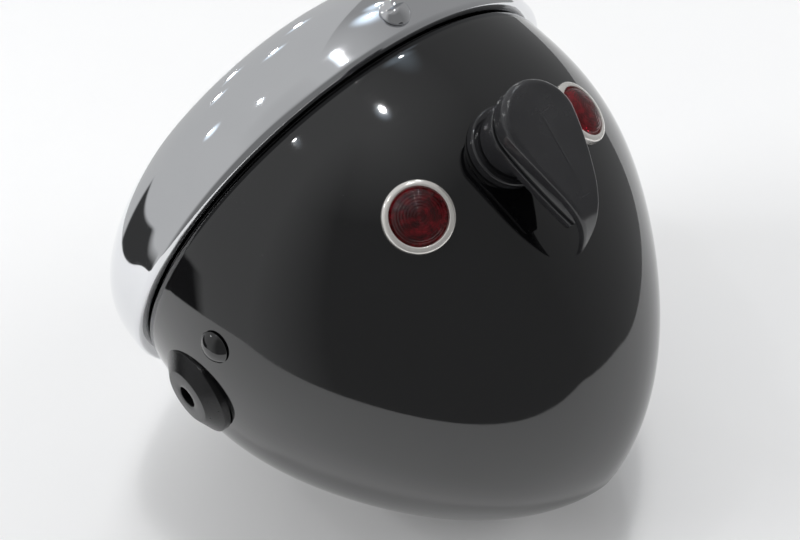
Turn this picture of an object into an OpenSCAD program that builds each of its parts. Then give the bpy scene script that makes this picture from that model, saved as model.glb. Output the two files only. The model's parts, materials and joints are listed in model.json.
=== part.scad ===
// Round motorcycle headlight: pressed shell, deep bright rim, lever switch and two tell-tale lamps.
// Millimetres. +Z is up as mounted, the lens faces -Y and the rider's left is +X.
// The origin is the middle of the tilt axis, the line through the two side bosses.
// Inside the modules a depth d is counted rearwards from the rim's rear edge.

/* [Shell and rim] */
// Radius of the shell's shoulder, which the rim's rear edge covers
rim_r = 88; // [88:0.25:89]
// How far the rim swells out beyond the shell's shoulder
rim_swell = 3.5; // [3.3:0.1:3.8]
// Depth of the shell behind the rim
shell_depth = 135.7; // [132:0.5:140]
// Thickness of the pressed steel of the shell
shell_wall = 1.4; // [1.2:0.1:1.6]
// Thickness of the rim
rim_wall = 1.1; // [0.9:0.1:1.3]
// Distance of the tilt axis behind the rim's rear edge
boss_d = 28.7; // [28:0.1:30]
// Distance of the tilt axis below the shell's long axis
boss_drop = 3.7; // [3:0.1:4.4]

/* [Tell-tale lamps] */
// Distance of the lamps behind the rim's rear edge
lamp_d = 45.6; // [45:0.2:47]
// Angle of each lamp from the top of the shell
lamp_angle = 23.3; // [23:0.1:24]
// Outer radius of a lamp bezel
bezel_r = 10.6; // [10.2:0.1:10.9]
// Radius of a lamp lens
tell_r = 8.5; // [8:0.1:8.5]

/* [Switch] */
// Distance of the switch axis behind the rim's rear edge
switch_d = 44.7; // [44:0.1:46]
// Radius of the switch's base ring
ring_r = 12.6; // [12:0.1:13]
// Radius of the lever's round head
lever_r = 12.4; // [12:0.1:13]
// Length of the lever from its axis to the tip
lever_len = 37.5; // [35:0.5:39]
// Height of the lever's top above the shell
lever_top = 21.6; // [21:0.1:22]

/* [Side bosses] */
// Radius of a boss at its base
boss_r = 15.4; // [14.5:0.1:15.8]
// Radius of a boss at its outer face
boss_face_r = 9.5; // [9:0.1:10.5]
// Height of a boss's outer face above the shell
boss_h = 3.8; // [3.6:0.1:4.4]
// Minor radius of the thread in a boss
thread_r = 3.4; // [3.3:0.05:3.5]

/* [Cable entry] */
// Bore radius of the cable grommet
cable_r = 6; // [5:0.5:7]

/* [Hidden] */
$fn = 96;

// A curved seat keeps this much air under the piece on it
seat = 0.3;
// Radial clearance of a turning shaft in its hole
run = 0.05;
// Radius of a ball that fits the shell's surface around the switch, lamps and bosses
crown_r = rim_r + 8;
// Radius of the shell's front neck, inside the rim's bead
neck_r = rim_r - 3;
// Radius of the domed part of the front lens, and of the reflector's mouth
lens_r = rim_r - 13;
bowl_r = rim_r - 14;
// Depth of the plane where the reflector's flange and the lens's flange meet
flange_d = -25;
// Inner radius of the reflector's neck, and its wall
bulb_neck_r = 11.5;
bulb_neck_wall = 0.9;
// Radius of the switch neck and of its hole in the shell
swneck_r = 8.9;
// Radius of a lamp bezel's neck
lamp_neck_r = 7.8;
// Radius of the switch shaft
shaft_r = 3;
// Radius of a boss's shank
shank_r = 7.8;
// Radius of the rim screw's shank
screw_r = 2;
// Distance of the rim screw in front of the rim's rear edge
screw_u = 8;
// Angle between a boss and each of its rivets, and their place along the shell
rivet_angle = 18.6;
rivet_d = 28.4;
// Depth at which the cable grommet sits
cable_d = 84;
// Length of a boss and its shank, from the outer face inwards
boss_len = 14.4;
// Outer radius of the roll at the rim's rear edge
roll_r = 2.2;
// Height of the lever's flange above the shell at the axis, and its thickness
foot_z = 9.9;
foot_t = 3.1;
// Angle by which the resting lever points off the middle, towards the rider's left
lever_rest = 3;

// Radius of the shell's outer surface at depth d
function shell_r(d) =
    let (u = min(max(d / shell_depth, 0), 1))
    (rim_r - 0.2) * pow(1 - pow(u, 2.517), 0.634) + 2.32 * sin(360 * u);
// Distance of a boss's outer face from the middle of the headlight
boss_x = shell_r(boss_d) + boss_h;
// Angle of a boss from the top of the shell
boss_angle = 90 + asin(boss_drop / shell_r(boss_d));
// Angle by which the surface leans back at depth d
function lean(d) = atan2(shell_r(d - 0.5) - shell_r(d + 0.5), 1);
// A point of the shell's wall, moved outwards by g along the surface's normal, as [radius, depth]
function wall_point(d, g) = [shell_r(d) + g * cos(lean(d)), d + g * sin(lean(d))];
// Row of wall points from depth a to depth b
function wall_row(a, b, g, n) = [for (i = [0 : n]) wall_point(a + (b - a) * i / n, g)];
// Row of wall points from depth a to the nose, closer together towards the nose
function nose_row(a, g, n) = [for (i = [0 : n - 1])
    let (t = asin(a / shell_depth) + (90 - asin(a / shell_depth)) * i / n)
    wall_point(shell_depth * sin(t), g)];
// Radius of the rim's outer surface at the distance u in front of its rear edge
function rim_out(u) = rim_r + rim_swell - 0.00162 * pow(max(u - 5, 0), 2.8);
// A point of the rim's sheet, moved inwards by g, as [radius, depth]
function rim_point(u, g) =
    let (a = atan(-0.004536 * pow(max(u - 5, 0), 1.8)))
    [rim_out(u) - g * cos(a), -(u + g * sin(a))];
// Points of an arc about [x, y]
function arc(x, y, r, a, b, n) = [for (i = [0 : n]) [x + r * cos(a + (b - a) * i / n), y + r * sin(a + (b - a) * i / n)]];
// The same row of points from its other end
function back(row) = [for (i = [len(row) - 1 : -1 : 0]) row[i]];

// Moves a piece built from the rim's rear edge into the frame of the tilt axis
module from_rim() {
    translate([0, -boss_d, boss_drop]) children();
}

// Turns a [radius, depth] outline about the headlight's long axis
module turned(points) {
    rotate([-90, 0, 0]) rotate_extrude() polygon(points);
}

// Places a piece on the shell at depth d and at an angle from the top, its +Z along the normal
module on_shell(d, angle) {
    from_rim() rotate([0, angle, 0]) translate([0, d, shell_r(d)]) rotate([-lean(d), 0, 0]) children();
}

// Height of the seat at the radius r around a piece that stands square on the shell
function seat_z(r) = sqrt(pow(crown_r + seat, 2) - r * r) - crown_r;
// Underside of such a piece from radius a to radius b
function seat_row(a, b) = [for (i = [0 : 4]) let (r = a + (b - a) * i / 4) [r, seat_z(r)]];

// Ball that follows the shell's surface around depth d, a seat's width above it
module seat_ball(d, angle) {
    on_shell(d, angle) translate([0, 0, -crown_r]) sphere(r = crown_r + seat);
}

module shell() {
    outside = concat([[neck_r, -12], [neck_r, seat]], arc(neck_r + 1, seat + 1.8, 1.8, -90, -10, 6),
        nose_row(3, 0, 40), [[0, shell_depth]]);
    inside = concat([[neck_r - shell_wall, -12], [neck_r - shell_wall, 1.4]],
        nose_row(4, -shell_wall, 36), [[0, shell_depth - shell_wall]]);
    color([0.02, 0.02, 0.022]) difference() {
        from_rim() turned(concat(outside, back(inside)));
        on_shell(switch_d, 0) translate([0, 0, -8]) cylinder(r = swneck_r + seat, h = 16);
        for (s = [-1, 1]) {
            on_shell(lamp_d, s * lamp_angle) translate([0, 0, -8]) cylinder(r = lamp_neck_r + seat, h = 16);
            translate([s * shell_r(boss_d), 0, 0]) rotate([0, 90, 0]) cylinder(r = shank_r + 0.2, h = 16, center = true);
            for (a = [-1, 1]) {
                on_shell(rivet_d, s * (boss_angle + a * rivet_angle)) translate([0, 0, -8]) cylinder(r = 2.7, h = 16);
            }
        }
        on_shell(cable_d, 180) translate([0, 0, -8]) cylinder(r = cable_r + 2.3, h = 16);
        from_rim() translate([0, -screw_u, neck_r - 5]) cylinder(r = screw_r + 0.3, h = 10);
    }
}

module rim() {
    sheet = [for (i = [1 : 18]) rim_point(roll_r + (30.5 - roll_r) * i / 18, 0)];
    lining = [for (i = [1 : 18]) rim_point(roll_r + (30.4 - roll_r) * i / 18, rim_wall)];
    mid = rim_r + rim_swell - roll_r;
    roll = concat(arc(mid, -roll_r, roll_r, 0, 90, 7), [[neck_r + 0.8, 0], [neck_r + 0.3, -0.5], [neck_r + 0.8, -rim_wall]],
        arc(mid, -roll_r, roll_r - rim_wall, 90, 0, 4));
    lip = [for (p = [[-0.7, 3.9], [-2.4, 4.6], [-3.7, 4.2], [-4.1, 3.1], [-3.4, 2.5], [-2.6, 3.2], [-1.4, 2.8]])
        [lens_r + p[0], flange_d - 3.3 - p[1]]];
    color([0.75, 0.76, 0.78]) difference() {
        from_rim() turned(concat(back(roll), sheet, lip, back(lining)));
        from_rim() translate([0, -screw_u, neck_r]) cylinder(r = screw_r + 0.3, h = 12);
    }
}

module rim_screw() {
    top = rim_r + rim_swell + 0.1;
    color([0.75, 0.76, 0.78]) from_rim() translate([0, -screw_u, 0]) {
        difference() {
            translate([0, 0, top]) rotate_extrude() polygon(concat([[0, 0], [4.8, 0], [4.8, 0.7]], arc(0, -2.6, 5.85, 34, 90, 8)));
            translate([0, 0, top + 2.95]) cube([12, 1.1, 1.8], center = true);
        }
        translate([0, 0, neck_r - 6]) cylinder(r = screw_r, h = top - neck_r + 6.2);
    }
}

module rim_screw_plate() {
    color([0.6, 0.6, 0.62]) from_rim() translate([0, -screw_u, neck_r - shell_wall]) difference() {
        translate([-8, -4, -4]) cube([16, 8, 3.5]);
        translate([0, 0, -6]) cylinder(r = screw_r + run, h = 8);
    }
}

module rim_hook() {
    top = rim_out(13.8) - rim_wall - 0.5;
    color([0.6, 0.6, 0.62]) from_rim() rotate([0, 180, 0]) rotate([0, -90, 0]) linear_extrude(height = 14, center = true)
        polygon([[top, -12.3], [top, -13.8], [neck_r - shell_wall - 1.9, -13.8], [neck_r - shell_wall - 1.9, -5],
            [neck_r - shell_wall - 0.5, -5], [neck_r - shell_wall - 0.5, -12.3]]);
}

// Height of the lens's dome at the share t of its radius, as a share of the height in the middle
function dome(t) = 1 - 0.968 * t * t - 0.032 * pow(t, 4);

module front_lens() {
    front = [for (i = [0 : 14]) let (t = i / 14) [lens_r * t, flange_d - 3.1 - 11.9 * dome(t)]];
    rear = [for (i = [0 : 14]) let (t = i / 14) [(lens_r - 2) * t, flange_d + 0.3 - 11.7 * dome(t)]];
    color([0.9, 0.95, 1, 0.35]) from_rim() turned(concat(front, [[lens_r + 1, flange_d - 3.2], [lens_r + 3, flange_d - 3.2],
        [lens_r + 3, flange_d], [lens_r - 1, flange_d]], back(rear)));
}

module lens_gasket() {
    color([0.05, 0.05, 0.05]) from_rim() turned([for (p = [[2.4, 0.1], [1.8, 0.7], [-1.5, 2.4], [-2.7, 2.7], [-2.7, 1.5],
        [0, 0.3], [1, 0.1]]) [lens_r + p[0], flange_d - 3.2 - p[1]]]);
}

module reflector() {
    neck_out = bulb_neck_r + bulb_neck_wall;
    bowl = [for (i = [0 : 20]) let (r = bulb_neck_r + (bowl_r - bulb_neck_r) * i / 20) [r, 33 - 57 * pow(r / bowl_r, 2)]];
    outer = [for (i = [0 : 20]) let (r = neck_out + (bowl_r + 0.8 - neck_out) * i / 20) [r, 34 - 57 * pow(r / (bowl_r + 0.6), 2)]];
    color([0.85, 0.86, 0.88]) from_rim() turned(concat([[bulb_neck_r, 39]], bowl, [[bowl_r + 0.2, flange_d],
        [lens_r + 3, flange_d], [lens_r + 3, flange_d + 1], [lens_r + 0.6, flange_d + 1]], back(outer), [[neck_out, 39]]));
}

module reflector_clips() {
    color([0.55, 0.55, 0.57]) for (a = [45, 135, 225, 315]) {
        from_rim() rotate([0, a, 0]) rotate([0, -90, 0]) linear_extrude(height = 9, center = true)
            polygon([for (p = [[0, 9.8], [0.9, 9.8], [0.9, 11.4], [-4, 11.4], [-7.5, 5.6], [-10, 2.4], [-11.8, 2.4],
                [-11.8, 1], [-9.6, 1], [-6.6, 5], [-3.4, 10.5], [0, 10.5]]) [rim_r + p[0], flange_d + p[1]]]);
    }
}

module bulb_glass() {
    color([0.95, 0.97, 1, 0.35]) from_rim() turned(concat([[0, 30], [7, 30], [7, 22]], arc(0, 8, 11, 42, -90, 16)));
}

module bulb_cap() {
    color([0.72, 0.6, 0.32]) from_rim() turned([[0, 44], [6, 44], [6, 42.5], [8, 42.5], [8, 34], [11.3, 34], [11.3, 32.6],
        [8.2, 32.6], [8.2, 29], [7.2, 29], [7.2, 30], [0, 30]]);
}

module bulb_holder() {
    bore = bulb_neck_r + bulb_neck_wall + 0.2;
    color([0.12, 0.07, 0.04]) from_rim() difference() {
        turned([[0, 48], [bore + 1.1, 48], [bore + 1.1, 35], [bore, 35], [bore, 44.6], [0, 44.6]]);
        for (a = [90, 210, 330]) {
            rotate([0, a, 0]) translate([7, 46, 0]) rotate([90, 0, 0]) cylinder(r = 1.7, h = 12, center = true);
        }
    }
}

module holder_terminals() {
    color([0.72, 0.6, 0.32]) from_rim() for (a = [90, 210, 330]) {
        rotate([0, a, 0]) translate([7, 49.3, 0]) rotate([90, 0, 0]) cylinder(r = 1.6, h = 9.2, center = true);
    }
}

module switch_ring() {
    color([0.03, 0.03, 0.03]) on_shell(switch_d, 0) rotate_extrude() polygon(concat(
        seat_row(swneck_r + 0.1, ring_r), [[ring_r, 1.6]], arc(ring_r - 1.2, 1.6, 1.2, 15, 90, 5),
        [[swneck_r + 0.1, 2.8]]));
}

module switch_housing() {
    color([0.05, 0.05, 0.05]) on_shell(switch_d, 0) difference() {
        union() {
            translate([0, 0, -34]) cylinder(r = 13.5, h = 30);
            translate([0, 0, -6]) cylinder(r = swneck_r, h = 8.4);
        }
        translate([0, 0, -35]) cylinder(r = 11.5, h = 26);
        translate([0, 0, -12]) cylinder(r = shaft_r + run, h = 20);
    }
}

module switch_washer() {
    color([0.04, 0.04, 0.04]) on_shell(switch_d, 0) translate([0, 0, -4]) difference() {
        cylinder(r = 13, h = 1.3);
        translate([0, 0, -1]) cylinder(r = swneck_r + 0.1, h = 4);
    }
}

module switch_contact_plate() {
    color([0.35, 0.2, 0.1]) on_shell(switch_d, 0) difference() {
        union() {
            translate([0, 0, -37]) cylinder(r = 13.5, h = 3);
            translate([0, 0, -34.5]) cylinder(r = 11.2, h = 4);
        }
        translate([0, 0, -33]) cylinder(r = shaft_r + run, h = 6);
        for (a = [0 : 60 : 300]) {
            rotate([0, 0, a]) translate([8.2, 0, -40]) cylinder(r = 1.35, h = 12);
        }
    }
}

module switch_terminals() {
    color([0.72, 0.6, 0.32]) on_shell(switch_d, 0) for (a = [0 : 60 : 300]) {
        rotate([0, 0, a]) translate([8.2, 0, -41]) {
            cylinder(r = 1.25, h = 10.8);
            translate([0, 0, 2.6]) cylinder(r = 2.4, h = 1.4);
        }
    }
}

module switch_shaft() {
    color([0.6, 0.6, 0.62]) on_shell(switch_d, 0) translate([0, 0, -32.8]) cylinder(r = shaft_r, h = 48.6);
}

module switch_drum() {
    color([0.35, 0.2, 0.1]) on_shell(switch_d, 0) difference() {
        translate([0, 0, -26]) cylinder(r = 10.8, h = 13);
        translate([0, 0, -27]) cylinder(r = shaft_r + run, h = 16);
    }
}

// Half width of the lever at the distance s behind its axis
function lever_w(s) = lever_r * pow(1 - pow(s / lever_len, 1.2), 0.9);
// Height of the lever's top at the distance s behind its axis
function lever_z(s) = lever_top - 0.07 * s - 15.8 * pow(max(s, 0) / lever_len, 7);

// Outline of the lever seen from above, drawn in by g and cut off at the distance end behind the axis
module lever_plan(g, end) {
    side = [for (i = [0 : 14]) let (s = end * i / 14) [max(lever_w(s) - g, 0.5), s]];
    polygon(concat(arc(0, 0, lever_r - g, 180, 348, 14), side, [for (p = back(side)) [-p[0], p[1]]]));
}

// Side view of the lever's top plate, its upper face lowered by g
module lever_side(g) {
    top = [for (i = [0 : 14]) let (s = lever_len * i / 14) [s, lever_z(s) - g]];
    under = [for (i = [14 : -1 : 8]) let (s = lever_len * i / 14) [s, lever_z(s) - 3.6]];
    rotate([90, 0, 90]) linear_extrude(height = 30, center = true)
        polygon(concat([[-14, lever_top - g - 0.8], [-9, lever_top - g - 0.1]], top, under, [[0, 15.5], [-14, 15.5]]));
}

// Side view of a layer of the lever between the heights a and b, falling slightly rearwards
module lever_band(a, b) {
    fall = 0.09 * lever_len;
    rotate([90, 0, 90]) linear_extrude(height = 30, center = true)
        polygon([[-14, a], [0, a], [lever_len, a - fall], [lever_len, b - fall], [0, b], [-14, b]]);
}

// A layer of the lever between the heights a and b, drawn in by g
module lever_layer(g, end, a, b) {
    intersection() {
        linear_extrude(height = 30) lever_plan(g, end);
        lever_band(a, b);
    }
}

module switch_lever() {
    foot_end = lever_len - 8.5;
    color([0.03, 0.03, 0.03]) on_shell(switch_d, 0) rotate([0, 0, -lever_rest]) difference() {
        union() {
            for (g = [[0, 1.9], [0.4, 1.0], [1, 0.4], [1.8, 0.1], [2.6, 0]]) {
                intersection() {
                    linear_extrude(height = 30) lever_plan(g[0], lever_len - 0.8 - g[0]);
                    lever_side(g[1]);
                }
            }
            lever_layer(2, foot_end - 1, foot_z + 1, 17);
            lever_layer(1.2, foot_end, foot_z, foot_z + foot_t);
            lever_layer(0.9, foot_end + 0.3, foot_z + 0.4, foot_z + foot_t - 0.4);
            translate([0, 0, 8]) cylinder(r = 11.4, h = foot_z - 7);
            translate([0, 0, 3.4]) cylinder(r1 = 10.6, r2 = 10.2, h = 6);
        }
        translate([0, 0, 2]) cylinder(r = shaft_r + run, h = 14);
    }
}

module bezel(angle) {
    color([0.75, 0.76, 0.78]) on_shell(lamp_d, angle) rotate_extrude() polygon(concat(
        [[7, -12], [lamp_neck_r, -12]], seat_row(lamp_neck_r, bezel_r), arc(bezel_r - 1, 1.9, 1, 0, 180, 8),
        [[tell_r + 0.1, 1.2], [tell_r + 0.1, 0.6], [7, 0.6]]));
}

module tell_tale(angle) {
    ridges = [for (i = [0 : 12]) let (r = tell_r - 0.5 - (tell_r - 0.5) * i / 12)
        [r, 1.4 + 3.6 * sqrt(1 - pow(r / tell_r, 2)) + (i % 2 == 0 ? 0 : 0.35)]];
    color([0.5, 0.03, 0.03, 0.8]) on_shell(lamp_d, angle) rotate_extrude() polygon(concat([[0, 0.6], [tell_r, 0.6], [tell_r, 1.6]],
        ridges));
}

module lamp_nut(angle) {
    color([0.6, 0.6, 0.62]) on_shell(lamp_d, angle) translate([0, 0, -6]) difference() {
        cylinder(r = 10.6, h = 3.6, $fn = 6);
        translate([0, 0, -1]) cylinder(r = lamp_neck_r + 0.1, h = 6);
    }
}

module lamp_holder(angle) {
    color([0.85, 0.83, 0.78]) on_shell(lamp_d, angle) rotate_extrude() polygon([[0, -26], [5.2, -26], [5.2, -21], [8.6, -21], [8.6, -12.2],
        [6.9, -12.2], [6.9, -5], [4.7, -5], [4.7, -18], [0, -18]]);
}

module lamp_bulb(angle) {
    color([0.9, 0.9, 0.85, 0.5]) on_shell(lamp_d, angle) rotate_extrude() polygon(concat([[0, -18], [4.5, -18], [4.5, -8], [3.6, -8]],
        arc(0, -4.4, 3.9, -20, 90, 8)));
}

module boss() {
    color([0.02, 0.02, 0.022]) difference() {
        union() {
            difference() {
                rotate([0, 90, 0]) rotate_extrude() polygon(concat([[0, boss_x - 10], [boss_r, boss_x - 10]],
                    arc(boss_r - 0.8, boss_x - boss_h + 0.2, 0.8, 0, 55, 4), arc(boss_face_r - 0.3, boss_x - 1, 1, 55, 90, 4), [[0, boss_x]]));
                seat_ball(boss_d, boss_angle);
            }
            translate([boss_x - boss_len, 0, 0]) rotate([0, 90, 0]) cylinder(r = shank_r, h = boss_len - 2);
        }
        translate([boss_x - boss_len - 1, 0, 0]) rotate([0, 90, 0]) cylinder(r = thread_r, h = boss_len + 4);
    }
}

module strap() {
    color([0.3, 0.3, 0.31]) difference() {
        intersection() {
            from_rim() turned(concat(wall_row(boss_d - 11, boss_d + 11, -shell_wall - seat, 4),
                back(wall_row(boss_d - 11, boss_d + 11, -shell_wall - seat - 3, 4))));
            translate([boss_x - 40, -11, -36]) cube([60, 22, 72]);
        }
        translate([boss_x - boss_len - 14, 0, 0]) rotate([0, 90, 0]) cylinder(r = shank_r + 0.1, h = 30);
        for (a = [-1, 1]) {
            on_shell(rivet_d, boss_angle + a * rivet_angle) translate([0, 0, -10]) cylinder(r = 2.5, h = 20);
        }
    }
}

module rivets() {
    color([0.02, 0.02, 0.022]) for (a = [-1, 1]) {
        on_shell(rivet_d, boss_angle + a * rivet_angle) rotate_extrude() polygon(concat([[0, -6.8], [3.8, -6.8], [3.8, -4.9],
            [2.4, -4.9], [2.4, seat], [5.4, seat]], arc(0, -3.8, 6.8, 38, 90, 8)));
    }
}

module cable_grommet() {
    color([0.04, 0.04, 0.04]) on_shell(cable_d, 180) difference() {
        union() {
            rotate_extrude() polygon([[0, -3.8], [10, -3.8], [10.6, -3.2], [10.6, -2.4], [cable_r + 2, -2.4], [cable_r + 2, 0.4],
                [10.6, 0.4], [10.6, 1.4], [9.6, 2.4], [0, 2.4]]);
        }
        translate([0, 0, -6]) cylinder(r = cable_r, h = 12);
    }
}

shell();
rim();
rim_screw();
rim_screw_plate();
rim_hook();
front_lens();
lens_gasket();
reflector();
reflector_clips();
bulb_glass();
bulb_cap();
bulb_holder();
holder_terminals();
switch_ring();
switch_housing();
switch_washer();
switch_contact_plate();
switch_terminals();
switch_shaft();
switch_drum();
switch_lever();
bezel(lamp_angle);  // left_bezel
tell_tale(lamp_angle);  // left_tell_tale
lamp_nut(lamp_angle);  // left_lamp_nut
lamp_holder(lamp_angle);  // left_lamp_holder
lamp_bulb(lamp_angle);  // left_lamp_bulb
bezel(-lamp_angle);  // right_bezel
tell_tale(-lamp_angle);  // right_tell_tale
lamp_nut(-lamp_angle);  // right_lamp_nut
lamp_holder(-lamp_angle);  // right_lamp_holder
lamp_bulb(-lamp_angle);  // right_lamp_bulb
boss();  // left_boss
strap();  // left_strap
rivets();  // left_rivets
mirror([1, 0, 0]) boss();  // right_boss
mirror([1, 0, 0]) strap();  // right_strap
mirror([1, 0, 0]) rivets();  // right_rivets
cable_grommet();
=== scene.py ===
import json
import math

import bmesh
import bpy
from mathutils import Matrix, Vector


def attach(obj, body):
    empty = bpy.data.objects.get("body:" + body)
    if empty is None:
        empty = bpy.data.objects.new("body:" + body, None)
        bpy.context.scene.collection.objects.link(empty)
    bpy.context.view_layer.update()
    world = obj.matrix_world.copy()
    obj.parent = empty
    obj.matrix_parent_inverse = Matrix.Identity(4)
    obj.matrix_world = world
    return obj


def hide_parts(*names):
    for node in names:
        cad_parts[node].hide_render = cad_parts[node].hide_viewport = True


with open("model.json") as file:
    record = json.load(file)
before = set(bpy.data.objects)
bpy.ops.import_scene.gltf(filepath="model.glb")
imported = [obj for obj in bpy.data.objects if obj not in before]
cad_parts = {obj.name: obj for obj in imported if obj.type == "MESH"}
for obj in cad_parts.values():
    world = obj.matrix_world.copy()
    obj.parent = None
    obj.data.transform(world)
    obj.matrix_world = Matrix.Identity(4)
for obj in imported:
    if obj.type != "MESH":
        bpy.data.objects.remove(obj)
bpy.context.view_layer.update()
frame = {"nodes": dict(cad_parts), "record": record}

# Sizes in millimetres, the same as the part's own. A depth d is counted rearwards from the rim's rear edge.
# R is a radius, D a depth, H a height, T a thickness and U a distance in front of the rim's rear edge.
MM = 0.001
RIM_R = 88.0
SHELL_DEPTH = 135.7
SHELL_WALL = 1.4
RIM_WALL = 1.1
RIM_SWELL = 3.5
ROLL_R = 2.2
BOSS_D = 28.7
BOSS_DROP = 3.7
BOSS_H = 3.8
LAMP_D = 45.6
LAMP_ANGLE = 23.3
BEZEL_R = 10.6
TELL_R = 8.5
SWITCH_D = 44.7
RING_R = 12.6
LEVER_R = 12.4
LEVER_LEN = 37.5
LEVER_TOP = 21.6
LEVER_REST = 3.0
FOOT_Z = 9.9
FOOT_T = 3.1
BOSS_R = 15.4
BOSS_FACE_R = 9.5
THREAD_R = 3.4
CABLE_R = 6.0
CABLE_D = 84.0
SCREW_U = 8.0
RIVET_ANGLE = 18.6
RIVET_D = 28.4
SEAT = 0.3
HUNG_D = -12.0
RIM_DEPTH = 30.5
BOSS_T = 14.4
STEM_R = 7.8
SWITCH_HOLE_R = 9.2
LAMP_HOLE_R = 8.1
BOSS_HOLE_R = 8.0
SCREW_HOLE_R = 2.3
CROWN_R = RIM_R + 8
NECK_R = RIM_R - 3
LENS_R = RIM_R - 13
BOWL_R = RIM_R - 14
FLANGE_D = -25.0
BOWL_DEPTH = 57
FLUTE_W = 6.8
MIDDLE_FLUTE_W = 4.86

# Numbers of sides and lengths of drills
FINE_ROUND = 288
ROUND = 144
SMALL_ROUND = 128
DRILL = 16
LONG_DRILL = 30


# Outlines, as the part's source draws them

def shell_r(d):
    """Radius of the shell's outer surface at depth d."""
    u = min(max(d / SHELL_DEPTH, 0.0), 1.0)
    return (RIM_R - 0.2) * (1 - u ** 2.517) ** 0.634 + 2.32 * math.sin(2 * math.pi * u)


def lean(d):
    """Angle by which the surface leans back at depth d."""
    return math.atan2(shell_r(d - 0.5) - shell_r(d + 0.5), 1.0)


def wall_point(d, g):
    """A point of the shell's wall moved outwards by g, as (radius, depth)."""
    return shell_r(d) + g * math.cos(lean(d)), d + g * math.sin(lean(d))


def nose_row(start, g, count):
    """Wall points from a depth to the nose, closer together towards the nose."""
    first = math.asin(start / SHELL_DEPTH)
    return [wall_point(SHELL_DEPTH * math.sin(first + (math.pi / 2 - first) * i / count), g) for i in range(count)]


def rim_out(u):
    """Radius of the rim at the distance u in front of its rear edge."""
    return RIM_R + RIM_SWELL - 0.00162 * max(u - 5, 0.0) ** 2.8


def rim_point(u, g):
    """A point of the rim's sheet moved inwards by g."""
    a = math.atan(-0.004536 * max(u - 5, 0.0) ** 1.8)
    return rim_out(u) - g * math.cos(a), -(u + g * math.sin(a))


def arc(x, y, r, start, end, count):
    """Points of an arc, angles in degrees."""
    steps = [math.radians(start + (end - start) * i / count) for i in range(count + 1)]
    return [(x + r * math.cos(a), y + r * math.sin(a)) for a in steps]


def smooth(edge0, edge1, x):
    """A soft step from 0 to 1 between two edges."""
    t = min(max((x - edge0) / (edge1 - edge0), 0.0), 1.0)
    return t * t * (3 - 2 * t)


# Places

FROM_RIM = Matrix.Translation((0, -BOSS_D * MM, BOSS_DROP * MM))


def on_shell(d, angle):
    """Matrix of a place on the shell, its +Z along the normal; angle in degrees from the top."""
    return (FROM_RIM @ Matrix.Rotation(math.radians(angle), 4, "Y")
            @ Matrix.Translation((0, d * MM, shell_r(d) * MM)) @ Matrix.Rotation(-lean(d), 4, "X"))


ALONG_Y = Matrix.Rotation(math.radians(-90), 4, "X")
SWITCH_SEAT = on_shell(SWITCH_D, 0)
BOSS_ANGLE = 90 + math.degrees(math.asin(BOSS_DROP / shell_r(BOSS_D)))


# Meshes

def settle(piece, angle=32):
    """Merges doubles, turns the faces outwards and shades the piece smooth up to an angle."""
    mesh = piece.data
    work = bmesh.new()
    work.from_mesh(mesh)
    bmesh.ops.remove_doubles(work, verts=work.verts, dist=1e-6)
    bmesh.ops.recalc_face_normals(work, faces=work.faces)
    work.to_mesh(mesh)
    work.free()
    mesh.shade_smooth()
    mesh.set_sharp_from_angle(angle=math.radians(angle))
    return piece


def piece_from(name, points, faces, place=None):
    """A piece from points in millimetres, with its place put into its mesh."""
    mesh = bpy.data.meshes.new(name)
    mesh.from_pydata([(x * MM, y * MM, z * MM) for x, y, z in points], [], faces)
    if place is not None:
        mesh.transform(place)
    piece = bpy.data.objects.new(name, mesh)
    bpy.context.scene.collection.objects.link(piece)
    return piece


def turned_mesh(outline, sides, closed=True):
    """Points and faces of an outline of (radius, height) turned about Z."""
    points, rings = [], []
    for r, h in outline:
        if abs(r) < 1e-9:
            rings.append([len(points)] * sides)
            points.append((0.0, 0.0, h))
        else:
            rings.append(list(range(len(points), len(points) + sides)))
            points += [(r * math.cos(2 * math.pi * k / sides), r * math.sin(2 * math.pi * k / sides), h)
                       for k in range(sides)]
    pairs = list(zip(rings, rings[1:] + rings[:1] if closed else rings[1:]))
    faces = []
    for a, b in pairs:
        if a[0] == a[1] and b[0] == b[1]:
            continue
        for k in range(sides):
            n = (k + 1) % sides
            corner = [a[k], a[n], b[n], b[k]]
            faces.append([v for i, v in enumerate(corner) if v != corner[i - 1]])
    return points, faces


def turned(name, outline, sides, place=None, closed=True, angle=32):
    """A piece turned about Z from an outline of (radius, height)."""
    points, faces = turned_mesh(outline, sides, closed)
    return settle(piece_from(name, points, faces, place), angle)


def about_axis(name, outline, sides, closed=True, angle=32):
    """A piece turned about the headlight's long axis from an outline of (radius, depth)."""
    return turned(name, outline, sides, FROM_RIM @ ALONG_Y, closed, angle)


def join(name, *pieces):
    """One piece from several."""
    work = bmesh.new()
    for piece in pieces:
        work.from_mesh(piece.data)
        bpy.data.objects.remove(piece)
    mesh = bpy.data.meshes.new(name)
    work.to_mesh(mesh)
    work.free()
    whole = bpy.data.objects.new(name, mesh)
    bpy.context.scene.collection.objects.link(whole)
    return whole


def drilled(piece, holes):
    """The piece with round holes; each hole is (place, radius, length) along the place's Z."""
    for place, radius, length in holes:
        half = length / 2
        points, faces = turned_mesh([(0, -half), (radius, -half), (radius, half), (0, half)], 72, closed=False)
        drill = settle(piece_from("drill", points, faces, place))
        cut = piece.modifiers.new("hole", "BOOLEAN")
        cut.operation = "DIFFERENCE"
        cut.solver = "EXACT"
        cut.object = drill
        result = bpy.data.meshes.new_from_object(piece.evaluated_get(bpy.context.evaluated_depsgraph_get()))
        piece.modifiers.clear()
        piece.data = result
        bpy.data.objects.remove(drill)
    piece.data.shade_smooth()
    piece.data.set_sharp_from_angle(angle=math.radians(32))
    return piece


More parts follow.
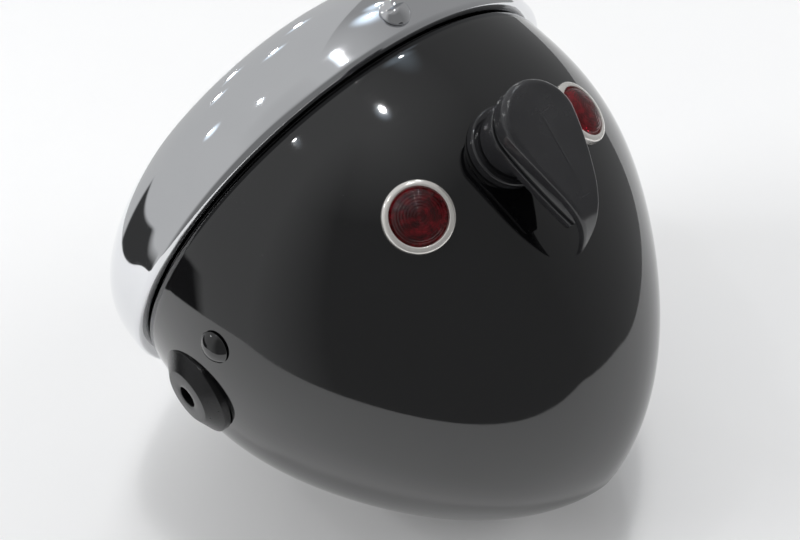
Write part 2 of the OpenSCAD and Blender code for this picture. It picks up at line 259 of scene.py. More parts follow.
def copy_of(node, bevel=0.15):
    """A copy of a CAD node with its doubles merged and its edges broken."""
    mesh = frame["nodes"][node].data.copy()
    piece = bpy.data.objects.new(node + "_finished", mesh)
    bpy.context.scene.collection.objects.link(piece)
    mesh.materials.clear()
    work = bmesh.new()
    work.from_mesh(mesh)
    bmesh.ops.remove_doubles(work, verts=work.verts, dist=1e-6)
    bmesh.ops.dissolve_limit(work, angle_limit=math.radians(0.5), verts=work.verts, edges=work.edges)
    work.to_mesh(mesh)
    work.free()
    edge = piece.modifiers.new("edge", "BEVEL")
    edge.width = bevel * MM
    edge.segments = 2
    edge.limit_method = "ANGLE"
    edge.angle_limit = math.radians(34)
    result = bpy.data.meshes.new_from_object(piece.evaluated_get(bpy.context.evaluated_depsgraph_get()))
    piece.modifiers.clear()
    piece.data = result
    result.shade_smooth()
    result.set_sharp_from_angle(angle=math.radians(40))
    return piece


# Finishes

class Value:
    """A number that changes over a surface. Sums on it add Math nodes."""

    def __init__(self, finish, socket):
        self.finish = finish
        self.socket = socket

    def sum(self, operation, a, b, clamp=False):
        return self.finish.add("ShaderNodeMath", {"operation": operation, "use_clamp": clamp}, {0: a, 1: b})

    def __add__(self, other):
        return self.sum("ADD", self, other)

    def __sub__(self, other):
        return self.sum("SUBTRACT", self, other)

    def __rsub__(self, other):
        return self.sum("SUBTRACT", other, self)

    def __mul__(self, other):
        return self.sum("MULTIPLY", self, other)

    __radd__ = __add__
    __rmul__ = __mul__

    def step(self, low, high):
        """0 below low, 1 above high, and a straight ramp between them."""
        return self.sum("MULTIPLY", self - low, 1 / (high - low), clamp=True)


class Nodes:
    """A node tree, built node by node."""

    def __init__(self, owner):
        owner.use_nodes = True
        self.tree = owner.node_tree
        self.tree.nodes.clear()

    def add(self, kind, settings=None, inputs=None, output=0):
        """A node of a type, with its settings and the values or links of its sockets."""
        node = self.tree.nodes.new(kind)
        for key, value in (settings or {}).items():
            setattr(node, key, value)
        for key, value in (inputs or {}).items():
            if isinstance(value, Value):
                self.tree.links.new(value.socket, node.inputs[key])
            else:
                node.inputs[key].default_value = value
        return Value(self, node.outputs[output]) if len(node.outputs) else None

    def mix(self, factor, a, b, blend="MIX"):
        """A colour between two others, or the two multiplied or added."""
        return self.add("ShaderNodeMix", {"data_type": "RGBA", "blend_type": blend}, {0: factor, 6: a, 7: b}, 2)


class Finish(Nodes):
    """A material."""

    def __init__(self, name):
        self.material = bpy.data.materials.new(name)
        super().__init__(self.material)
        self.place = self.add("ShaderNodeTexCoord", output="Object")

    def grain(self, size, detail=3.0, rough=0.55, place=None):
        """Noise whose features are about size millimetres across."""
        return self.add("ShaderNodeTexNoise", {"noise_dimensions": "3D"},
                        {"Vector": place or self.place, "Scale": 1000.0 / size, "Detail": detail, "Roughness": rough})

    def stretched(self, scale, turn=(0, 0, 0)):
        """Object coordinates drawn out along one direction."""
        return self.add("ShaderNodeMapping", None, {"Vector": self.place, "Scale": scale, "Rotation": turn})

    def specks(self, spacing, size, place=None):
        """1 inside small dots of a size in millimetres, one for each cell of the spacing."""
        spot = self.add("ShaderNodeTexVoronoi", {"feature": "F1"},
                        {"Vector": place or self.place, "Scale": 1000.0 / spacing, "Randomness": 1.0}, "Distance")
        return 1 - spot.step(size / spacing * 0.6, size / spacing)

    def bump(self, height, distance, strength=1.0, under=None):
        """A bumped normal; the distance is in millimetres."""
        inputs = {"Height": height, "Distance": distance * MM, "Strength": strength}
        if under is not None:
            inputs["Normal"] = under
        return self.add("ShaderNodeBump", None, inputs)

    def skin(self, **inputs):
        """The surface itself, a Principled shader."""
        names = {key.replace("_", " "): value for key, value in inputs.items()}
        shader = self.add("ShaderNodeBsdfPrincipled", None, names)
        self.add("ShaderNodeOutputMaterial", None, {"Surface": shader})
        return self.material


def rgb(r, g, b):
    """A colour with full alpha."""
    return (r, g, b, 1.0)


def black_enamel():
    f = Finish("black_enamel")
    cloud = f.grain(38, 3)
    wipe = f.grain(2.2, 2, place=f.stretched((0.12, 1.0, 1.0), (0.3, 0.5, 0.9)))
    dust = f.specks(5.5, 0.16) * f.grain(60, 2).step(0.42, 0.62)
    lint = f.specks(17, 0.3) * f.grain(24, 1).step(0.5, 0.56)
    spots = dust * 0.5 + lint * 0.5
    base = f.mix(cloud, rgb(0.0015, 0.0015, 0.0018), rgb(0.0035, 0.0035, 0.004))
    base = f.mix(spots, base, rgb(0.09, 0.088, 0.085))
    rough = 0.035 + cloud.step(0.35, 0.75) * 0.03 + wipe.step(0.55, 0.8) * 0.03 + spots * 0.3
    peel = f.bump(f.grain(3.4, 1.5), 0.02, 0.12)
    return f.skin(Base_Color=base, Roughness=rough, IOR=1.8, Normal=f.bump(f.grain(26, 1), 0.05, 0.25, peel))


def chrome_plate():
    f = Finish("chrome_plate")
    film = f.grain(30, 4, 0.6)
    wipe = f.grain(1.6, 2, place=f.stretched((0.1, 1.0, 1.0), (0.2, 0.4, 0.2)))
    base = f.mix(film, rgb(0.84, 0.845, 0.86), rgb(0.76, 0.77, 0.79))
    pits = f.specks(9, 0.12) * f.grain(40, 2).step(0.5, 0.62)
    base = f.mix(pits, base, rgb(0.25, 0.22, 0.18))
    rough = 0.03 + film.step(0.4, 0.75) * 0.05 + wipe.step(0.55, 0.8) * 0.04 + pits * 0.4
    return f.skin(Base_Color=base, Metallic=1.0, Roughness=rough, Normal=f.bump(f.grain(20, 1.2), 0.05, 0.22))


def black_plastic():
    f = Finish("black_plastic")
    cloud = f.grain(9, 3)
    wear = f.grain(1.1, 2, place=f.stretched((0.15, 1.0, 1.0), (0.5, 0.2, 0.6))).step(0.58, 0.75)
    base = f.mix(cloud, rgb(0.014, 0.014, 0.0155), rgb(0.026, 0.026, 0.028))
    base = f.mix(f.specks(3.4, 0.11) * 0.4, base, rgb(0.12, 0.12, 0.12))
    rough = 0.14 + cloud * 0.12 + wear * 0.08
    return f.skin(Base_Color=base, Roughness=rough, IOR=1.62, Normal=f.bump(f.grain(0.9, 2), 0.01, 0.25))


def ring_plastic():
    f = Finish("ring_plastic")
    cloud = f.grain(6, 3)
    base = f.mix(cloud, rgb(0.012, 0.012, 0.013), rgb(0.022, 0.022, 0.024))
    return f.skin(Base_Color=base, Roughness=0.05 + cloud * 0.06, IOR=1.62, Normal=f.bump(f.grain(1.4, 2), 0.01, 0.3))


def boss_lacquer():
    f = Finish("boss_lacquer")
    cloud = f.grain(7, 3)
    base = f.mix(cloud, rgb(0.003, 0.003, 0.0034), rgb(0.008, 0.008, 0.0085))
    base = f.mix(f.specks(4.2, 0.1) * 0.5, base, rgb(0.08, 0.078, 0.075))
    return f.skin(Base_Color=base, Roughness=0.2 + cloud * 0.12, IOR=1.42, Normal=f.bump(f.grain(1.1, 3), 0.02, 0.4))


def satin_bezel():
    f = Finish("satin_bezel")
    film = f.grain(12, 3, 0.6)
    base = f.mix(film, rgb(0.93, 0.90, 0.86), rgb(0.86, 0.83, 0.79))
    pits = f.specks(6, 0.1) * 0.5
    base = f.mix(pits, base, rgb(0.45, 0.42, 0.38))
    return f.skin(Base_Color=base, Metallic=0.72, Roughness=0.1 + film * 0.08, Normal=f.bump(f.grain(3, 2), 0.02, 0.3))


def black_rubber():
    f = Finish("black_rubber")
    bloom = f.grain(6, 4, 0.65)
    base = f.mix(bloom.step(0.35, 0.7), rgb(0.016, 0.016, 0.016), rgb(0.035, 0.034, 0.033))
    return f.skin(Base_Color=base, Roughness=0.55 + bloom * 0.25, Normal=f.bump(f.grain(0.7, 3), 0.03, 0.4))


def zinc_steel():
    f = Finish("zinc_steel")
    flake = f.grain(4, 4, 0.65)
    tint = f.grain(15, 2).step(0.45, 0.7)
    base = f.mix(flake, rgb(0.56, 0.57, 0.58), rgb(0.42, 0.43, 0.45))
    base = f.mix(tint * 0.5, base, rgb(0.62, 0.56, 0.38))
    return f.skin(Base_Color=base, Metallic=1.0, Roughness=0.25 + flake * 0.25,
                  Normal=f.bump(f.grain(0.6, 2), 0.02, 0.3))


def brass_parts():
    f = Finish("brass_parts")
    tarnish = f.grain(3, 4, 0.6)
    base = f.mix(tarnish.step(0.35, 0.7), rgb(0.78, 0.60, 0.28), rgb(0.48, 0.34, 0.16))
    return f.skin(Base_Color=base, Metallic=1.0, Roughness=0.2 + tarnish * 0.3,
                  Normal=f.bump(f.grain(0.5, 2), 0.02, 0.25))


def brown_phenolic():
    f = Finish("brown_phenolic")
    filler = f.grain(1.5, 4, 0.7)
    base = f.mix(filler, rgb(0.045, 0.022, 0.012), rgb(0.10, 0.05, 0.028))
    return f.skin(Base_Color=base, Roughness=0.35 + filler * 0.2, Normal=f.bump(filler, 0.02, 0.3))


def cream_plastic():
    f = Finish("cream_plastic")
    cloud = f.grain(5, 3)
    base = f.mix(cloud, rgb(0.66, 0.62, 0.50), rgb(0.72, 0.69, 0.60))
    return f.skin(Base_Color=base, Roughness=0.35 + cloud * 0.15, Normal=f.bump(f.grain(0.8, 2), 0.015, 0.3))


def silvered_bowl():
    f = Finish("silvered_bowl")
    haze = f.grain(12, 3)
    base = f.mix(haze, rgb(0.90, 0.90, 0.91), rgb(0.84, 0.845, 0.86))
    return f.skin(Base_Color=base, Metallic=1.0, Roughness=0.04 + haze.step(0.4, 0.8) * 0.06,
                  Normal=f.bump(f.grain(14, 1), 0.03, 0.2))


def clear_glass():
    f = Finish("clear_glass")
    dust = f.specks(3.0, 0.12) * f.grain(30, 2).step(0.45, 0.65)
    base = f.mix(dust, rgb(0.96, 0.985, 0.975), rgb(0.75, 0.75, 0.72))
    return f.skin(Base_Color=base, Transmission_Weight=1.0, IOR=1.5, Roughness=0.01 + dust * 0.3,
                  Normal=f.bump(f.grain(7, 1), 0.02, 0.15))


def red_lens():
    f = Finish("red_lens")
    cloud = f.grain(2.5, 3)
    base = f.mix(cloud, rgb(0.10, 0.002, 0.005), rgb(0.19, 0.003, 0.010))
    # Painted light: glow is a red emission in soft blotches. It stands in for room lamp light caught and refracted
    # inside the lens, which no lamp behind it gives.
    glow = f.mix(f.grain(2.4, 2).step(0.45, 0.75), rgb(0.003, 0.0, 0.0), rgb(0.06, 0.001, 0.003))
    return f.skin(Base_Color=base, Transmission_Weight=0.9, IOR=1.5, Roughness=0.02 + cloud * 0.03,
                  Emission_Color=glow, Emission_Strength=1.0, Normal=f.bump(f.grain(1.2, 2), 0.01, 0.3))


FINISHES = {make.__name__: make() for make in (
    black_enamel, chrome_plate, zinc_steel, clear_glass, black_rubber, silvered_bowl, brass_parts, brown_phenolic,
    black_plastic, ring_plastic, boss_lacquer, satin_bezel, red_lens, cream_plastic)}


def dress(piece, finish, body, *nodes):
    """Gives a piece its finish and body, and hides the CAD nodes that it stands for."""
    piece.data.materials.clear()
    piece.data.materials.append(FINISHES[finish])
    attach(piece, body)
    if nodes:
        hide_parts(*nodes)
    return piece


# Shell and rim

def make_shell():
    outside = ([(NECK_R, HUNG_D), (NECK_R, SEAT)] + arc(NECK_R + 1, SEAT + 1.8, 1.8, -90, -10, 10)
               + nose_row(3.0, 0.0, 110) + [(0.0, SHELL_DEPTH)])
    inside = [(0.0, SHELL_DEPTH - SHELL_WALL)] + nose_row(4.0, -SHELL_WALL, 60)[::-1] + [
        (NECK_R - SHELL_WALL, SHELL_WALL), (NECK_R - SHELL_WALL, HUNG_D)]
    shell = about_axis("shell_body", outside + inside, FINE_ROUND)
    holes = [(SWITCH_SEAT, SWITCH_HOLE_R, DRILL)]
    for side in (-1, 1):
        holes.append((on_shell(LAMP_D, side * LAMP_ANGLE), LAMP_HOLE_R, DRILL))
        at_boss = Matrix.Translation((side * shell_r(BOSS_D) * MM, 0, 0)) @ Matrix.Rotation(math.pi / 2, 4, "Y")
        holes.append((at_boss, BOSS_HOLE_R, DRILL))
    holes.append((on_shell(CABLE_D, 180), CABLE_R + 2.3, DRILL))
    return dress(drilled(shell, holes), "black_enamel", "headlight", "shell")


def make_rim():
    sheet = [rim_point(ROLL_R + (RIM_DEPTH - ROLL_R) * i / 48, 0) for i in range(1, 49)]
    lining = [rim_point(ROLL_R + (RIM_DEPTH - 0.1 - ROLL_R) * i / 30, RIM_WALL) for i in range(1, 31)]
    mid = RIM_R + RIM_SWELL - ROLL_R
    tuck = [(1.3, 0.0), (0.6, -0.15), (0.3, -0.5), (0.8, -RIM_WALL)]
    roll = (arc(mid, -ROLL_R, ROLL_R, 0, 90, 14) + [(NECK_R + r, h) for r, h in tuck]
            + arc(mid, -ROLL_R, ROLL_R - RIM_WALL, 90, 0, 6))
    curl = [(-0.7, 3.9), (-1.5, 4.35), (-2.4, 4.6), (-3.1, 4.55), (-3.7, 4.2), (-4.1, 3.65), (-4.1, 3.1), (-3.8, 2.7),
            (-3.4, 2.5), (-3.0, 2.75), (-2.6, 3.2), (-2.0, 3.2), (-1.4, 2.8)]
    lip = [(LENS_R + r, FLANGE_D - 3.3 - h) for r, h in curl]
    rim = about_axis("rim_band", roll[::-1] + sheet + lip + lining[::-1], FINE_ROUND, angle=50)
    hole = [(FROM_RIM @ Matrix.Translation((0, -SCREW_U * MM, RIM_R * MM)), SCREW_HOLE_R, LONG_DRILL)]
    return dress(drilled(rim, hole), "chrome_plate", "headlight", "rim")


# Lens, reflector and bulb

def dome(t):
    """Height of the lens's dome at the share t of its radius."""
    return 1 - 0.968 * t * t - 0.032 * t ** 4


def flute(x, z):
    """How far the lens's prisms stand out of its inner face."""
    if math.hypot(x, z) > LENS_R - 6:
        return 0.0
    if abs(x) < 17 and -26 < z < 26:
        return 0.9 * math.sqrt(abs(math.sin(math.pi * x / MIDDLE_FLUTE_W)))
    if abs(z) > 40:
        return 1.1 * abs(((z / 7.0) % 1.0) - 0.5)
    return 0.8 * math.sqrt(abs(math.sin(math.pi * x / FLUTE_W)))


def make_lens():
    """Both faces are grids of columns that end on one ring, so the prisms run straight up."""
    columns, rows = 190, 56
    edge = [math.pi * i / columns for i in range(columns + 1)]
    points, faces = [], []

    def sheet(radius, height):
        grid = []
        for a in edge:
            x, half = -radius * math.cos(a), radius * math.sin(a)
            column = []
            for j in range(rows + 1):
                z = half * (2 * j / rows - 1)
                column.append(len(points))
                points.append((x, height(x, z), z))
            grid.append(column)
        for left, right in zip(grid, grid[1:]):
            for j in range(rows):
                faces.append([left[j], right[j], right[j + 1], left[j + 1]])
        return [column[-1] for column in grid] + [column[0] for column in grid[-2:0:-1]]

    def ring(radius, depth):
        start = len(points)
        for i in range(2 * columns):
            a = math.pi - math.pi * i / columns
            points.append((radius * math.cos(a), depth, radius * math.sin(a)))
        return list(range(start, start + 2 * columns))

    inner_r = LENS_R - 2
    front = sheet(LENS_R, lambda x, z: FLANGE_D - 3.1 - 11.9 * dome(math.hypot(x, z) / LENS_R))
    rear = sheet(inner_r, lambda x, z: FLANGE_D + 0.3 - 11.7 * dome(min(math.hypot(x, z) / inner_r, 1.0))
                 + 0.2 * (math.hypot(x, z) < inner_r - 0.01) + flute(x, z))
    loops = [front, ring(LENS_R + 1, FLANGE_D - 3.2), ring(LENS_R + 3, FLANGE_D - 3.2), ring(LENS_R + 3, FLANGE_D),
             ring(LENS_R - 1, FLANGE_D), rear]
    for a, b in zip(loops, loops[1:]):
        for i in range(2 * columns):
            n = (i + 1) % (2 * columns)
            faces.append([a[i], a[n], b[n], b[i]])
    glass = settle(piece_from("lens_glass", points, faces, FROM_RIM), 25)
    return dress(glass, "clear_glass", "headlight", "front_lens")


def make_reflector():
    def bowl(start, end, depth, size, count):
        """A parabola from one radius to another."""
        steps = [start + (end - start) * i / count for i in range(count + 1)]
        return [(r, depth - BOWL_DEPTH * (r / size) ** 2) for r in steps]

    inner, collar = 11.5, 39.0
    start = inner + 0.9
    flange = [(BOWL_R + 0.2, FLANGE_D), (LENS_R + 3, FLANGE_D), (LENS_R + 3, FLANGE_D + 1),
              (LENS_R + 0.6, FLANGE_D + 1)]
    outline = ([(inner, collar)] + bowl(inner, BOWL_R, 33, BOWL_R, 60) + flange
               + bowl(start, BOWL_R + 0.8, 34, BOWL_R + 0.6, 40)[::-1] + [(start, collar)])
    return dress(about_axis("reflector_bowl", outline, 192), "silvered_bowl", "headlight", "reflector")


def make_bulb():
    glass = [(0.0, 30.0), (7.0, 30.0), (7.0, 24.0), (7.15, 22.4), (7.6, 20.2)] + arc(0, 8, 11, 42, -90, 26)
    dress(about_axis("bulb_envelope", glass[:-1] + [(0.0, -3.0)], 64, closed=False), "clear_glass", "headlight",
          "bulb_glass")


# Switch

def lever_w(s):
    """Half width of the lever at the distance s behind its axis."""
    return LEVER_R * max(1 - (s / LEVER_LEN) ** 1.2, 0.0) ** 0.9


def lever_z(s):
    """Height of the lever's top at the distance s behind its axis."""
    return LEVER_TOP - 0.07 * s - 15.8 * (max(s, 0.0) / LEVER_LEN) ** 7


def lever_under(s):
    """Height of the top plate's underside."""
    return min(15.5 + 0.03 * max(s, 0.0), lever_z(s) - 3.6)


def lever_outline(inset, end, corner=0.0):
    """Half widths of the lever drawn in by an inset, closed round the head and cut off at an end behind the axis."""
    front = [(math.cos(a) * (LEVER_R - inset), math.sin(a) * (LEVER_R - inset))
             for a in (math.pi + math.pi * i / 48 for i in range(49))]
    side = [(max(lever_w(s) - inset, 0.12), s) for s in ((end - corner) * (i / 48) ** 0.9 for i in range(1, 49))]
    w = side[-1][0]
    for a in (30, 60, 90):
        if corner:
            turn = math.radians(a)
            side.append((w - corner * (1 - math.cos(turn)), end - corner + corner * math.sin(turn)))
    return front + side + [(-x, s) for x, s in side[::-1]]


def lever_body(name, plan, rows):
    """Rows run from the spine of the upper face, over the edge and back under to the spine.
    A row is (share, gap, height): the outline times the share towards the spine, drawn in by the gap."""
    points, faces = [], []
    for share, gap, height in rows:
        for x, s in plan:
            spine = max(s, 0.0)
            inward = gap(s) if callable(gap) else gap
            keep = share * max(1 - inward / max(math.hypot(x, s - spine), 1e-6), 0.0)
            px, py = x * keep, spine + (s - spine) * keep
            points.append((px, py, height(px, py)))
    count = len(plan)
    for i in range(len(rows) - 1):
        for k in range(count):
            n = (k + 1) % count
            faces.append([i * count + k, i * count + n, (i + 1) * count + n, (i + 1) * count + k])
    place = SWITCH_SEAT @ Matrix.Rotation(math.radians(-LEVER_REST), 4, "Z")
    return settle(piece_from(name, points, faces, place), 42)


def make_lever():
    def crown(px, py):
        w = max(lever_w(max(py, 0.0)), 0.6)
        ridge = 0.3 * max(1 - abs(px) / w, 0.0) ** 1.6 * smooth(-12, -8, py) * (1 - smooth(14, 32, py))
        return lever_z(py) + ridge - 0.25 * smooth(4, 12, -py)

    def seam(rise):
        return lambda px, py: crown(px, py) + rise * (1 - smooth(15, 20, py))

    def edge(s):
        return (2.3 - 1.3 * smooth(-6, 14, s)) * min(1.0, 0.3 + lever_w(max(s, 0.0)) / 6)

    rows = [(0.0, 0.0, seam(0.1)), (0.014, 0.0, seam(0.08)), (0.03, 0.0, seam(0.0))]
    rows += [(k, 0.0, crown) for k in (0.06, 0.14, 0.25, 0.38, 0.5, 0.62, 0.7, 0.76)]
    for a in range(0, 91, 9):
        turn = math.radians(a)
        rows.append((1.0, lambda s, turn=turn: edge(s) * (1 - math.sin(turn)),
                     lambda px, py, turn=turn: crown(px, py) - edge(py) * (1 - math.cos(turn))))
    for part, gap in ((0.4, 0.0), (0.75, 0.05), (0.9, 0.12), (0.97, 0.3), (1.0, 0.6)):
        def wall(px, py, part=part):
            top = crown(px, py) - edge(py)
            return top + (lever_under(py) - top) * part
        rows.append((1.0, gap, wall))
    rows += [(k, 0.6, lambda px, py: lever_under(py)) for k in (0.6, 0.3, 0.0)]
    plate = lever_body("lever_plate", lever_outline(0.0, LEVER_LEN - 0.3), rows)

    def flange(rise):
        return lambda px, py: FOOT_Z - 0.09 * max(py, 0.0) + rise

    def wall_top(px, py):
        return 16.6

    edges = [(1.1, FOOT_T + 0.5), (0.95, FOOT_T + 0.12), (0.7, FOOT_T), (0.4, FOOT_T), (0.2, FOOT_T - 0.06),
             (0.06, FOOT_T - 0.2), (0.0, FOOT_T - 0.4), (0.0, 0.4), (0.06, 0.2), (0.2, 0.06), (0.4, 0.0)]
    rows = [(0.0, 0.0, wall_top), (1.0, 1.1, wall_top)] + [(1.0, gap, flange(rise)) for gap, rise in edges]
    rows += [(0.6, 0.4, flange(0.0)), (0.0, 0.0, flange(0.0))]
    foot = lever_body("lever_foot", lever_outline(0.9, LEVER_LEN - 8.2, 0.7), rows)
    outline = [(0, 12.0), (11.4, 12.0), (11.4, 8.5), (11.3, 8.2), (11.05, 8.0), (10.4, 8.0), (10.3, 7.6), (10.55, 4.0),
               (10.4, 3.6), (10.0, 3.4), (3.05, 3.4), (3.05, 11.0), (0, 11.0)]
    hub = turned("lever_hub", outline, ROUND, SWITCH_SEAT, closed=False)
    return dress(join("switch_lever_moulding", plate, foot, hub), "black_plastic", "switch", "switch_lever")


def seat_z(r):
    """Height of the seat at the radius r around a piece that stands square on the shell."""
    return math.sqrt((CROWN_R + SEAT) ** 2 - r * r) - CROWN_R


def seat_row(a, b):
    """Points of the seat from one radius to another."""
    return [(a + (b - a) * i / 6, seat_z(a + (b - a) * i / 6)) for i in range(7)]


def make_switch_ring():
    inner = 9.0
    outline = seat_row(inner, RING_R) + [(RING_R, 1.6)] + arc(RING_R - 0.8, 2.0, 0.8, 5, 88, 10) + [(inner, 2.8)]
    return dress(turned("switch_base_ring", outline, ROUND, SWITCH_SEAT), "ring_plastic", "headlight", "switch_ring")


# Tell-tale lamps

def make_lamp(side, name):
    place = on_shell(LAMP_D, side * LAMP_ANGLE)
    crest = [(0.0, 1.75), (0.04, 2.0), (0.16, 2.24), (0.35, 2.44), (0.6, 2.62), (0.9, 2.76), (1.2, 2.85), (1.5, 2.9),
             (1.75, 2.86), (1.9, 2.74), (1.98, 2.5), (2.0, 2.1)]
    bore, sill = 7.0, 0.6
    outline = ([(bore, HUNG_D), (STEM_R, HUNG_D)] + seat_row(STEM_R, BEZEL_R) + [(BEZEL_R - r, h) for r, h in crest]
               + [(TELL_R + 0.1, 2 * sill), (TELL_R + 0.1, sill), (bore, sill)])
    dress(turned(name + "_bezel_ring", outline, SMALL_ROUND, place), "satin_bezel", "headlight", name + "_bezel")
    ridges = []
    count, rib, brim = 120, 0.9, 1.4
    for i in range(count + 1):
        r = (TELL_R - 0.15) * (1 - i / count)
        wave = 0.11 * abs(math.sin(math.pi * r / rib))
        ridges.append((r, brim + 3.6 * math.sqrt(max(1 - (r / TELL_R) ** 2, 0.0)) + wave))
    outline = [(0.0, sill), (TELL_R, sill), (TELL_R, brim)] + ridges
    lens = turned(name + "_red_lens", outline, SMALL_ROUND, place, closed=False, angle=60)
    dress(lens, "red_lens", "headlight", name + "_tell_tale")


# Side bosses

def make_boss(side, name):
    face = shell_r(BOSS_D) + BOSS_H
    outline = [(THREAD_R + 0.3, face - BOSS_T), (STEM_R, face - BOSS_T), (STEM_R, face - 5.6), (BOSS_R, face - 5.6)]
    outline += [(BOSS_R, face - 3.9)] + arc(BOSS_R - 0.5, face - 3.7, 0.5, 8, 58, 6)
    outline += arc(BOSS_FACE_R - 0.25, face - 1.0, 1.0, 57, 86, 8)
    outline += [(6.0, face + 0.06), (THREAD_R + 0.6, face + 0.06), (THREAD_R + 0.42, face),
                (THREAD_R + 0.3, face - 0.2)]
    place = Matrix.Rotation(side * math.pi / 2, 4, "Y")
    cap = turned(name + "_boss_cap", outline, SMALL_ROUND, place, angle=28)
    return dress(cap, "boss_lacquer", "headlight", name + "_boss")


def make_rivets(side, name):
    heads = []
    for turn in (-1, 1):
        outline = [(0.0, -6.8), (3.8, -6.8), (3.8, -4.9), (2.4, -4.9), (2.4, SEAT), (5.2, SEAT), (5.4, 0.45)]
        outline += arc(0, -3.8, 6.8, 39, 90, 16)
        angle = side * (BOSS_ANGLE + turn * RIVET_ANGLE)
        heads.append(turned("rivet", outline[:-1] + [(0.0, 3.0)], 64, on_shell(RIVET_D, angle), closed=False))
    return dress(join(name + "_rivet_heads", *heads), "black_enamel", "headlight", name + "_rivets")


make_shell()
make_rim()
make_lens()
make_reflector()
make_bulb()
make_lever()
make_switch_ring()
for side, name in ((1, "left"), (-1, "right")):
    make_lamp(side, name)
    make_boss(side, name)
    make_rivets(side, name)

finish_of = {part["node"]: part["material_slot"] for part in frame["record"]["subparts"]}
for name, node in frame["nodes"].items():
    node.data.materials.clear()
    node.data.materials.append(FINISHES[finish_of[name]])
    if name == "rim_screw":
        dress(copy_of(name), finish_of[name], "headlight", name)


# Camera

camera = bpy.data.objects.new("camera", bpy.data.cameras.new("camera"))
bpy.context.scene.collection.objects.link(camera)
right = Vector((-0.72886239, 0.64154971, 0.23910999))
down = Vector((0.48829705, 0.73189469, -0.47528534))
ahead = Vector((-0.4799225, -0.22966091, -0.84671734))
turn = Matrix((right, -down, -ahead)).transposed().to_4x4()
camera.matrix_world = Matrix.Translation((0.20789, 0.10244, 0.36187)) @ turn
camera.data.lens = 53.9955
camera.data.sensor_width = 36.0
camera.data.clip_start = 0.01
bpy.context.scene.camera = camera


# Table, lamps and room. The headlight lies on its underside, so the table's normal isn't the part's +Z.
# Directions in the room are given by azimuth, 0 towards the camera and 90 to its right, and height, both in degrees.

UP = Vector((0.0625, -0.4218, 0.9045)).normalized()
NEAR = Vector((0.62835, 0.72077, 0.29270)).normalized()
SIDE = UP.cross(NEAR)
lowest = min(v.co @ UP for name in ("shell_body", "rim_band") for v in bpy.data.objects[name].data.vertices)


def towards(azimuth, height):
    """Unit vector of a direction in the room."""
    a, h = math.radians(azimuth), math.radians(height)
    return (NEAR * math.cos(a) + SIDE * math.sin(a)) * math.cos(h) + UP * math.sin(h)


def rounded(points, times=3):
    """Cuts the corners of a closed outline."""
    for _ in range(times):
        after = points[1:] + points[:1]
        points = [(ax + (bx - ax) * t, ay + (by - ay) * t) for (ax, ay), (bx, by) in zip(points, after)
                  for t in (0.25, 0.75)]
    return points


def make_table():
    """A wide table top with a bay in its left side, and a backdrop under it that only the camera sees."""
    top = [(370, 200), (355, 318), (-480, 320), (-570, 290), (-590, 200), (-550, 110), (-500, 50), (-435, 0),
           (-415, -60), (-405, -120), (-375, -185), (-310, -222), (-230, -245), (-168, -255), (-175, -290),
           (-215, -370), (-235, -640),
           (660, -640), (600, -560), (450, -370), (330, -230), (250, -130), (260, -60), (300, 40), (350, 100)]
    wide = arc(0, 0, 1200, 0, 350, 35)
    middle = Vector((0, 0.0113, 0.0037))
    spot = UP * lowest + (middle - UP * (middle @ UP))
    f = Finish("pale_table")
    base = f.mix(f.grain(60, 3), rgb(0.87, 0.87, 0.875), rgb(0.89, 0.888, 0.886))
    surface = f.add("ShaderNodeBsdfPrincipled", None, {"Base Color": base, "Roughness": 0.5})
    clear = f.add("ShaderNodeBsdfTransparent")
    behind = f.add("ShaderNodeNewGeometry", output="Backfacing")
    shown = f.add("ShaderNodeMixShader", None, {0: behind, 1: surface, 2: clear})
    f.add("ShaderNodeOutputMaterial", None, {"Surface": shown})
    for name, points, drop in (("table", rounded(top), 0.0), ("backdrop", wide, 0.0008)):
        corners = [spot + SIDE * (x * MM) + NEAR * (y * MM) - UP * drop for x, y in points]
        mesh = bpy.data.meshes.new(name)
        mesh.from_pydata(corners, [], [list(range(len(corners)))])
        if mesh.polygons[0].normal @ UP < 0:
            mesh.flip_normals()
        mesh.materials.append(f.material)
        sheet = bpy.data.objects.new(name, mesh)
        bpy.context.scene.collection.objects.link(sheet)
        sheet.visible_glossy = name == "table"


def make_lamp_panel(name, way, distance, size, power, shown):
    """A round lamp that points at the headlight; only a shown one is mirrored in it."""
    light = bpy.data.lights.new(name, "AREA")
    light.shape = "DISK"
    light.size = size
    light.energy = power
    lamp = bpy.data.objects.new(name, light)
    bpy.context.scene.collection.objects.link(lamp)
    lamp.matrix_world = Matrix.Translation(way * distance) @ way.to_track_quat("Z", "Y").to_matrix().to_4x4()
    lamp.visible_glossy = shown
    lamp.visible_camera = False
    lamp.visible_transmission = shown


# Small ceiling lamps as (azimuth, height, power, halo in degrees), and the share of the halo that is fully bright
CORE = 0.35
MAIN = (121.8, 82.6)
SPOTS = [(*MAIN, 2.4, 3.5), (-97, 39, 1.0, 5.0), (-140, 15, 0.5, 3.0), (-152, 2, 0.5, 2.5), (-151, 29, 0.7, 4.0),
         (-163, 9, 0.6, 3.0), (-77, 64, 1.0, 2.5), (153, 58, 1.2, 9.0), (162, 48, 0.6, 6.0), (180, 16, 0.5, 2.5)]


# Tones of the plain room
PALE = 0.5
GREY = 0.3
DIM = 0.18
BLACK = 0.04


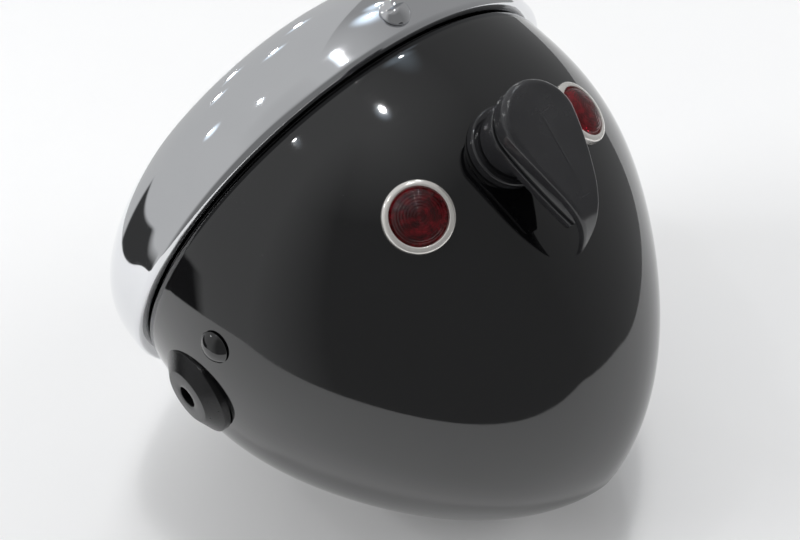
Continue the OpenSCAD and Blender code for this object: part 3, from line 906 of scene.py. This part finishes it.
def make_room():
    """Plain walls, pale at the left and dim towards the camera, a pale ceiling and one black flag low on the left."""
    room = bpy.data.worlds.new("room")
    bpy.context.scene.world = room
    n = Nodes(room)
    way = n.add("ShaderNodeTexCoord", output="Generated")

    def along(axis):
        return n.add("ShaderNodeVectorMath", {"operation": "DOT_PRODUCT"}, {0: way, 1: axis}, "Value")

    azimuth = n.add("ShaderNodeMath", {"operation": "ARCTAN2"}, {0: along(SIDE), 1: along(NEAR)}) * (180 / math.pi)
    height = n.add("ShaderNodeMath", {"operation": "ARCSINE"}, {0: along(UP)}) * (180 / math.pi)

    def curve(where, low, high, stops):
        """Values at stops of a direction angle, with straight ramps between them."""
        node = n.tree.nodes.new("ShaderNodeValToRGB")
        n.tree.links.new(where.step(low, high).socket, node.inputs[0])
        ramp = node.color_ramp.elements
        while len(ramp) < len(stops):
            ramp.new(0.5)
        for element, (at, level) in zip(ramp, stops):
            element.position = (at - low) / (high - low)
            element.color = (level, level, level, 1)
        return Value(n, node.outputs[0])

    walls = curve(azimuth, -180, 180, ((-180, PALE), (-60, PALE), (-30, DIM), (60, DIM), (120, GREY), (180, GREY)))
    roof = height.step(50, 85)
    level = walls * (1 - roof) + roof * PALE
    flag = azimuth.step(-126, -122) * (1 - azimuth.step(-84, -80)) * (1 - height.step(-2, 0))
    level = level * (1 - flag) + flag * BLACK
    grey = n.mix(1.0, rgb(0.99, 1.0, 1.01), level, "MULTIPLY")
    glow = None
    for a, h, power, halo in SPOTS:
        near = along(towards(a, h)).step(math.cos(math.radians(halo)), math.cos(math.radians(halo * CORE)))
        near = near * near * (0.5 + 0.4 * power)
        glow = near if glow is None else glow + near
    blue = n.mix(1.0, rgb(0.72, 0.9, 1.08), glow, "MULTIPLY")
    lit = n.mix(1.0, grey, blue, "ADD")
    camera_ray = n.add("ShaderNodeLightPath", output="Is Camera Ray")
    shown = n.mix(camera_ray, lit, rgb(0.90, 0.90, 0.905))
    back = n.add("ShaderNodeBackground", None, {"Color": shown})
    n.add("ShaderNodeOutputWorld", None, {"Surface": back})


make_table()
make_room()
for name, way, size, power in (("key_soft", MAIN, 0.3, 5.0), ("fill_left", (-88, 30), 0.9, 10.5),
                               ("fill_near", (-10, 30), 0.9, 0.2), ("fill_right", (84, 32), 0.9, 8.0),
                               ("fill_far", (170, 42), 0.9, 2.5)):
    make_lamp_panel(name, towards(*way), 1.6, size, power, False)
for i, (a, h, power, halo) in enumerate(SPOTS):
    make_lamp_panel(f"ceiling_{i}", towards(a, h), 2.0, 0.06, power, True)

bpy.context.scene.view_settings.view_transform = "Standard"
